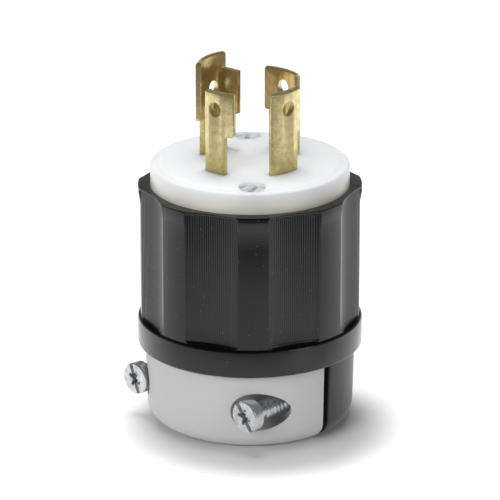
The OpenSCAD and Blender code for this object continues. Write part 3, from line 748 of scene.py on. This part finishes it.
class PLUG_OT_blades(bpy.types.Operator):
    """Stamp, pierce, bevel and bend the four blades"""
    bl_idname = "plug.blades"
    bl_label = "Blades"

    SLICE = math.radians(1.5)
    # The hole in a blade's foot takes its terminal screw
    FOOT_HOLE_RADIUS = 2.05 * MM
    FOOT_HOLE_RISE = 7.5 * MM

    def flat(self, s, stem, ear, tip, hole):
        """The flat blank: X along the arc from the stem's clockwise edge, Y through the sheet, Z up."""
        ear_z = Z_FACE + s.ear_rise
        corners = (
            (0.0, Z_FOOT, 0.0), (stem, Z_FOOT, 0.0), (stem, ear_z, s.ear_fillet), (ear, ear_z, s.ear_round),
            (ear, tip, s.ear_round), (0.0, tip, s.tip_round),
        )
        bm = bmesh.new()
        verts = [bm.verts.new((u, 0.0, z)) for u, z, _ in corners]
        bm.faces.new(verts)
        for vert, (_, _, radius) in zip(verts, corners):
            if radius:
                bmesh.ops.bevel(
                    bm, geom=[vert], offset=radius, segments=6, profile=0.5, affect="VERTICES", material=-1
                )
        sheet = bmesh.ops.extrude_face_region(bm, geom=bm.faces[:], use_keep_orig=True)
        back = [v for v in sheet["geom"] if isinstance(v, bmesh.types.BMVert)]
        bmesh.ops.translate(bm, vec=(0, s.thickness, 0), verts=back)
        for y, depth, side in ((0.0, s.bevel_out, -1), (s.thickness, s.bevel_in, 1)):
            cut(bm, (0, y, tip - depth), (0, side, 1))
            fill(bm)
        bmesh.ops.recalc_face_normals(bm, faces=bm.faces)
        across = Matrix.Rotation(math.radians(90), 4, "X")
        holes = (
            (hole, Z_FACE + s.hole_rise, s.hole_radius),
            (stem / 2, Z_FOOT + self.FOOT_HOLE_RISE, self.FOOT_HOLE_RADIUS),
        )
        for x, z, radius in holes:
            pin = placed(rod(radius, -MM, 3 * s.thickness, 48), Matrix.Translation((0, 0, -s.thickness)))
            bm = carved(bm, placed(pin, across, Matrix.Translation((x, 0, z))))
        return soften(bm, s.softness)

    def bent(self, s, bm, start):
        """Bends the blank to the blade's radius, starting at an angle about the axis."""
        width = max(v.co.x for v in bm.verts)
        slices = math.ceil(width / s.radius / self.SLICE)
        for i in range(1, slices):
            cut(bm, (width * i / slices, 0, 0), (1, 0, 0), clear=False)
        for v in bm.verts:
            angle = start + v.co.x / s.radius
            radius = s.radius - v.co.y
            v.co = (radius * math.cos(angle), radius * math.sin(angle), v.co.z)
        bmesh.ops.recalc_face_normals(bm, faces=bm.faces)
        return bm

    def hook(self, s, start, end):
        """The tab bent inwards from the ground blade, parallel to the blade's middle direction."""
        half = (end - start) / 2
        out = s.radius * math.cos(half) - s.hook_lap
        low = -s.radius * math.sin(half) - s.hook_lap
        tab = block((s.radius - s.hook_reach, low, Z_FACE + s.ear_rise), (out, low + s.thickness, Z_TIP))
        soften(tab, s.softness)
        return placed(tab, Matrix.Rotation((start + end) / 2, 4, "Z"))

    def execute(self, context):
        s = context.scene.plug_blades
        brass = stamped_brass(s.brass_colour)
        for name, start, end, ear_end, tip, hole_turn in plug_blades(context):
            start, end, ear_end, hole_turn = (math.radians(a) for a in (start, end, ear_end, hole_turn))
            stem = (end - start) * s.radius
            bm = self.flat(s, stem, (ear_end - start) * s.radius, tip, stem / 2 + hole_turn * s.radius)
            bm = self.bent(s, bm, start)
            if name == "ground_blade":
                bm = carved(bm, self.hook(s, start, end), "UNION")
            piece(bm, "stamped_" + name, brass, "brass", name, crease=28)
        return {"FINISHED"}


# ---- Cord clamp ----

class PLUG_OT_clamp(bpy.types.Operator):
    """Build the two halves of the cord clamp"""
    bl_idname = "plug.clamp"
    bl_label = "Cord clamp"

    COLUMNS = 90
    GROOVES = 3
    GROOVE_SLOPE = 0.2 * MM
    LIP_HEIGHT = 2 * MM
    # The dark half's holes end at its nuts, and the pocket's cutter reaches out past the light half
    DARK_HOLE_DEPTH = 10.35 * MM
    POCKET_REACH = 30 * MM

    def profile(self, s):
        """Chain of (radius, height) points round one half's section."""
        e = s.edge
        wall_z = e * (1 - math.sin(s.draft))
        base = s.cup_radius - (s.cup_height - wall_z) * math.tan(s.draft) - e * math.cos(s.draft)
        t = s.top_edge
        top = Z_NECK
        floor = top - self.LIP_HEIGHT
        lip = s.neck_radius + s.lip
        bore = []
        for i in range(self.GROOVES, 0, -1):
            middle = s.cup_height / (self.GROOVES + 0.5) * i
            r, deep = s.bore_radius, s.bore_radius + s.groove_depth
            high, low = middle + s.groove_width / 2, middle - s.groove_width / 2
            bore += [(r, high), (deep, high - self.GROOVE_SLOPE), (deep, low + self.GROOVE_SLOPE), (r, low)]
        return (
            [(s.bore_radius + s.mouth, 0.0)]
            + arc((base, e), e, -90, -math.degrees(s.draft), 12)
            + arc((s.cup_radius - t, s.cup_height - t), t, 0, 90, 4)
            + [(s.neck_radius, s.cup_height), (s.neck_radius, floor)]
            + [(lip, floor), (lip, top), (s.bore_radius, top)]
            + bore
            + [(s.bore_radius, s.mouth)]
        )

    def half(self, s, side):
        """One half: side is -1 or +1 along the clamp's own Y."""
        bm = spun(self.profile(s), self.COLUMNS, math.pi)
        # The spun half is squeezed about the axis, to leave the parting gap that widens upwards
        slope = (s.gap_top - s.gap_base) / 2 / s.cup_height
        for v in bm.verts:
            r = math.hypot(v.co.x, v.co.y)
            gap = s.gap_base / 2 + slope * v.co.z
            least = math.asin(gap / r)
            turn = math.atan2(max(v.co.y, 0.0), v.co.x)
            turn = least + turn * (math.pi - 2 * least) / math.pi
            v.co.x, v.co.y = r * math.cos(turn), r * math.sin(turn)
        bmesh.ops.recalc_face_normals(bm, faces=bm.faces)
        outside = s.neck_radius + s.lip
        soften(
            bm, s.parting_edge, 4, 60,
            where=lambda e: all(math.hypot(v.co.x, v.co.y) > outside and abs(v.co.y) < MM for v in e.verts),
        )
        return placed(bm, Matrix.Scale(side, 4, (0, 1, 0)), Matrix.Scale(side, 4, (1, 0, 0)))

    def along_y(self, bm, x, z):
        """Turns a bmesh made along Z to lie along the clamp's own Y at one of its screws."""
        return placed(bm, Matrix.Rotation(math.radians(-90), 4, "X"), Matrix.Translation((x, 0, z)))

    def execute(self, context):
        s = context.scene.plug_clamp
        turn = Matrix.Rotation(CLAMP_TURN, 4, "Z")
        light, dark = self.half(s, -1), self.half(s, 1)
        for x in (-s.screw_offset, s.screw_offset):
            hole = rod(s.hole_radius, -s.pocket_floor - MM, 0.0)
            light = carved(light, self.along_y(hole, x, s.screw_height))
            pocket = rod(s.pocket_radius, -self.POCKET_REACH, -s.pocket_floor, 96)
            light = carved(light, self.along_y(pocket, x, s.screw_height))
            hole = rod(s.hole_radius, 0.0, self.DARK_HOLE_DEPTH)
            dark = carved(dark, self.along_y(hole, x, s.screw_height))
        grey = moulded_nylon("moulded_grey_nylon", s.light_colour, 0.5)
        black = moulded_nylon("moulded_dark_nylon", context.scene.plug_grip.body_colour, 0.4)
        piece(placed(light, turn), "light_clamp_half", grey, "light_plastic", "clamp_half_light")
        piece(placed(dark, turn), "dark_clamp_half", black, "black_plastic", "clamp_half_dark")
        return {"FINISHED"}


class PLUG_OT_clamp_screws(bpy.types.Operator):
    """Build the two long clamp screws with their threads"""
    bl_idname = "plug.clamp_screws"
    bl_label = "Clamp screws"

    TURN_STEPS = 32
    HEAD_EDGE = 0.3 * MM
    NECK_FILLET = 0.3 * MM
    NECK_LAP = 0.2 * MM
    CROSS_REACH = 1.75 * MM
    CROSS_WIDTH = 0.76 * MM
    CROSS_DEPTH = 1.5 * MM
    RECESS_EDGE = 0.05 * MM

    def thread(self, s, start, end):
        """A threaded rod between two heights: one pitch of the profile, spun up the axis, trimmed square."""
        bm = bmesh.new()
        p = s.pitch
        section = (
            (s.root_radius, 0.0), (s.root_radius, 0.12 * p), (s.thread_radius, 0.45 * p),
            (s.thread_radius, 0.6 * p), (s.root_radius, 0.93 * p), (s.root_radius, p),
        )
        verts = [bm.verts.new((r, 0.0, start - 2 * p + z)) for r, z in section]
        edges = [bm.edges.new(pair) for pair in zip(verts, verts[1:])]
        turns = math.ceil((end - start) / p) + 4
        bmesh.ops.spin(
            bm, geom=verts + edges, cent=(0, 0, 0), axis=(0, 0, 1), dvec=(0, 0, p / self.TURN_STEPS),
            angle=TURN * turns, steps=self.TURN_STEPS * turns,
        )
        bmesh.ops.remove_doubles(bm, verts=bm.verts, dist=2 * SEAM)
        for height, outwards in ((start, -1), (end, 1)):
            cut(bm, (0, 0, height), (0, 0, outwards))
        fill(bm)
        bmesh.ops.recalc_face_normals(bm, faces=bm.faces)
        return bm

    def head(self, s):
        """The head and neck along Z, outer face at height 0, with a slot and a cross recess in it."""
        e, rim, fillet, lap = self.HEAD_EDGE, 0.1 * MM, self.NECK_FILLET, self.NECK_LAP
        neck_end = s.head_height + s.neck_length
        profile = (
            [(0.0, 0.0), (s.head_radius - e, 0.0)]
            + arc((s.head_radius - e, e), e, -90, 0, 5)
            + [(s.head_radius, s.head_height - rim), (s.head_radius - rim, s.head_height)]
            + [(s.neck_radius + fillet, s.head_height), (s.neck_radius, s.head_height + fillet)]
            + [(s.neck_radius, neck_end), (s.root_radius - lap, neck_end + lap), (0.0, neck_end + lap)]
        )
        bm = spun(profile, 96, closed=False)
        reach = 2 * s.head_radius
        bm = carved(bm, block((-reach, -s.slot_width / 2, -MM), (reach, s.slot_width / 2, s.slot_depth)))
        for angle in (45, 135):
            arm = block(
                (-self.CROSS_REACH, -self.CROSS_WIDTH / 2, -MM),
                (self.CROSS_REACH, self.CROSS_WIDTH / 2, self.CROSS_DEPTH),
            )
            bm = carved(bm, placed(arm, Matrix.Rotation(math.radians(angle), 4, "Z")))
        return soften(bm, self.RECESS_EDGE, where=lambda edge: max(v.co.z for v in edge.verts) < e)

    def execute(self, context):
        s = context.scene.plug_screws
        clamp = context.scene.plug_clamp
        start, end = s.head_height + s.neck_length, s.head_height + s.length
        shells = []
        for x, slot_turn in ((-clamp.screw_offset, 70), (clamp.screw_offset, 55)):
            screw = joined(self.head(s), self.thread(s, start, end))
            shells.append(placed(
                screw,
                Matrix.Rotation(math.radians(slot_turn), 4, "Z"),
                Matrix.Rotation(math.radians(-90), 4, "X"),
                Matrix.Translation((x, -s.head_out, clamp.screw_height)),
                Matrix.Rotation(CLAMP_TURN, 4, "Z"),
            ))
        zinc = zinc_plate("bright_zinc_plate", s.zinc_colour, 0.26, 0.75)
        piece(joined(*shells), "threaded_clamp_screws", zinc, "plated_steel", "clamp_screws")
        return {"FINISHED"}


# ---- Inner parts ----

class PLUG_OT_inner_parts(bpy.types.Operator):
    """Finish the CAD parts inside the plug: terminals, inserts, nuts and the terminal block"""
    bl_idname = "plug.inner_parts"
    bl_label = "Inner parts"

    def execute(self, context):
        zinc = zinc_plate("dull_zinc_plate", DULL_ZINC, 0.4)
        green = moulded_nylon("green_lacquer", GREEN_LACQUER, 0.3)
        brass = stamped_brass(context.scene.plug_blades.brass_colour)
        cream = moulded_nylon("cream_moulding", CREAM, 0.55)
        finishes = {
            "terminal_block": cream,
            "ground_pressure_plate": zinc, "neutral_pressure_plate": zinc,
            "line_x_pressure_plate": zinc, "line_y_pressure_plate": zinc,
            "ground_terminal_screw": green, "neutral_terminal_screw": zinc, "line_terminal_screws": brass,
            "assembly_inserts": brass, "clamp_nuts": zinc,
        }
        for name, finish in finishes.items():
            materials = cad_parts[name].data.materials
            materials.clear()
            materials.append(finish)
        return {"FINISHED"}


# ---- Stage ----

class PLUG_OT_stage(bpy.types.Operator):
    """Set up the floor, the lamps and the camera"""
    bl_idname = "plug.stage"
    bl_label = "Stage"

    # Each soft box: name, place, length of a side, power, and whether reflections show it
    LAMPS = (
        ("top_box", (-0.02, 0.1, 0.8), 0.42, 4.6, False),
        ("key_box", (-0.45, -0.5, 0.34), 0.4, 2.3, False),
        ("right_box", (0.55, -0.45, 0.3), 0.3, 0.9, True),
    )
    LAMP_TARGET = Vector((0, 0, 0.04))
    FLOOR_LOW = (-2.0, -0.14, -0.002)
    FLOOR_HIGH = (2.0, 3.0, 0.0)
    FILL = 0.2

    def lamp(self, name, place, side, power, mirrored):
        """A soft box that faces the plug's middle."""
        data = bpy.data.lights.new(name, "AREA")
        data.shape = "RECTANGLE"
        data.size = data.size_y = side
        data.energy = power
        obj = bpy.data.objects.new(name, data)
        obj.visible_glossy = mirrored
        obj.location = place
        obj.rotation_euler = (self.LAMP_TARGET - Vector(place)).to_track_quat("-Z", "Y").to_euler()
        bpy.context.scene.collection.objects.link(obj)

    def world(self):
        """White to the camera, grey as fill, and in reflections white behind the plug and dark elsewhere."""
        world = bpy.data.worlds.new("studio")
        bpy.context.scene.world = world
        world.use_nodes = True
        tree = world.node_tree
        tree.nodes.clear()
        rays = add(tree, "ShaderNodeLightPath")
        direction = add(tree, "ShaderNodeTexCoord").outputs["Generated"]
        back = ranged(tree, component(tree, direction, "Y"), -0.5, 0.4, 0.06, 1.0)
        low = ranged(tree, component(tree, direction, "Z"), 0.0, 0.35, 1.0, 0.12)
        around = calculated(tree, "MULTIPLY", back, low)
        soft = between(tree, passed_on(tree, rays), self.FILL, around)
        strength = between(tree, rays.outputs["Is Camera Ray"], soft, 1.0)
        sky = add(tree, "ShaderNodeBackground", {"Color": (1.0, 1.0, 1.0, 1.0), "Strength": strength})
        add(tree, "ShaderNodeOutputWorld", {"Surface": sky.outputs[0]})

    def execute(self, context):
        s = context.scene.plug_stage
        # The sheet ends a little way in front of the plug, so the grip's upper half reflects no floor there
        floor = loose_object(block(self.FLOOR_LOW, self.FLOOR_HIGH), "floor")
        floor.data.materials.append(white_acrylic(s.floor_colour))

        for lamp in self.LAMPS:
            self.lamp(*lamp)
        self.world()

        target = Vector((0, 0, s.target_height))
        away = Vector((
            math.sin(s.azimuth) * math.cos(s.elevation), -math.cos(s.azimuth) * math.cos(s.elevation),
            math.sin(s.elevation),
        ))
        data = bpy.data.cameras.new("camera")
        data.lens = s.lens
        data.sensor_width = 36.0
        data.clip_end = 10.0
        camera = bpy.data.objects.new("camera", data)
        camera.location = target + away * s.camera_distance
        camera.rotation_euler = (-away).to_track_quat("-Z", "Y").to_euler()
        scene = context.scene
        scene.collection.objects.link(camera)
        scene.camera = camera
        scene.view_settings.view_transform = "Standard"
        return {"FINISHED"}


# ---- Panel and run ----

class PLUG_PT_panel(bpy.types.Panel):
    """Lists the plug's pieces and their sizes"""
    bl_label = "Locking power plug"
    bl_idname = "PLUG_PT_panel"
    bl_space_type = "VIEW_3D"
    bl_region_type = "UI"
    bl_category = "Plug"

    def draw(self, context):
        for operator in OPERATORS:
            self.layout.operator(operator.bl_idname)
        for name in GROUPS:
            box = self.layout.box()
            settings = getattr(context.scene, name)
            for prop in settings.bl_rna.properties:
                if not prop.is_readonly and prop.identifier != "name":
                    box.prop(settings, prop.identifier)


GROUPS = {
    "plug_grip": PlugGrip, "plug_face": PlugFace, "plug_blades": PlugBlades,
    "plug_clamp": PlugClamp, "plug_screws": PlugScrews, "plug_stage": PlugStage,
}
OPERATORS = (
    PLUG_OT_grip, PLUG_OT_face_plate, PLUG_OT_assembly_screws, PLUG_OT_blades,
    PLUG_OT_clamp, PLUG_OT_clamp_screws, PLUG_OT_inner_parts, PLUG_OT_stage,
)


def register():
    for cls in (*GROUPS.values(), *OPERATORS, PLUG_PT_panel):
        bpy.utils.register_class(cls)
    for name, cls in GROUPS.items():
        setattr(bpy.types.Scene, name, bpy.props.PointerProperty(type=cls))


def unregister():
    for name in GROUPS:
        delattr(bpy.types.Scene, name)
    for cls in reversed((*GROUPS.values(), *OPERATORS, PLUG_PT_panel)):
        bpy.utils.unregister_class(cls)


def main():
    """Builds every piece in turn."""
    register()
    for cls in OPERATORS:
        group, name = cls.bl_idname.split(".")
        getattr(getattr(bpy.ops, group), name)()


if __name__ == "__main__":
    main()
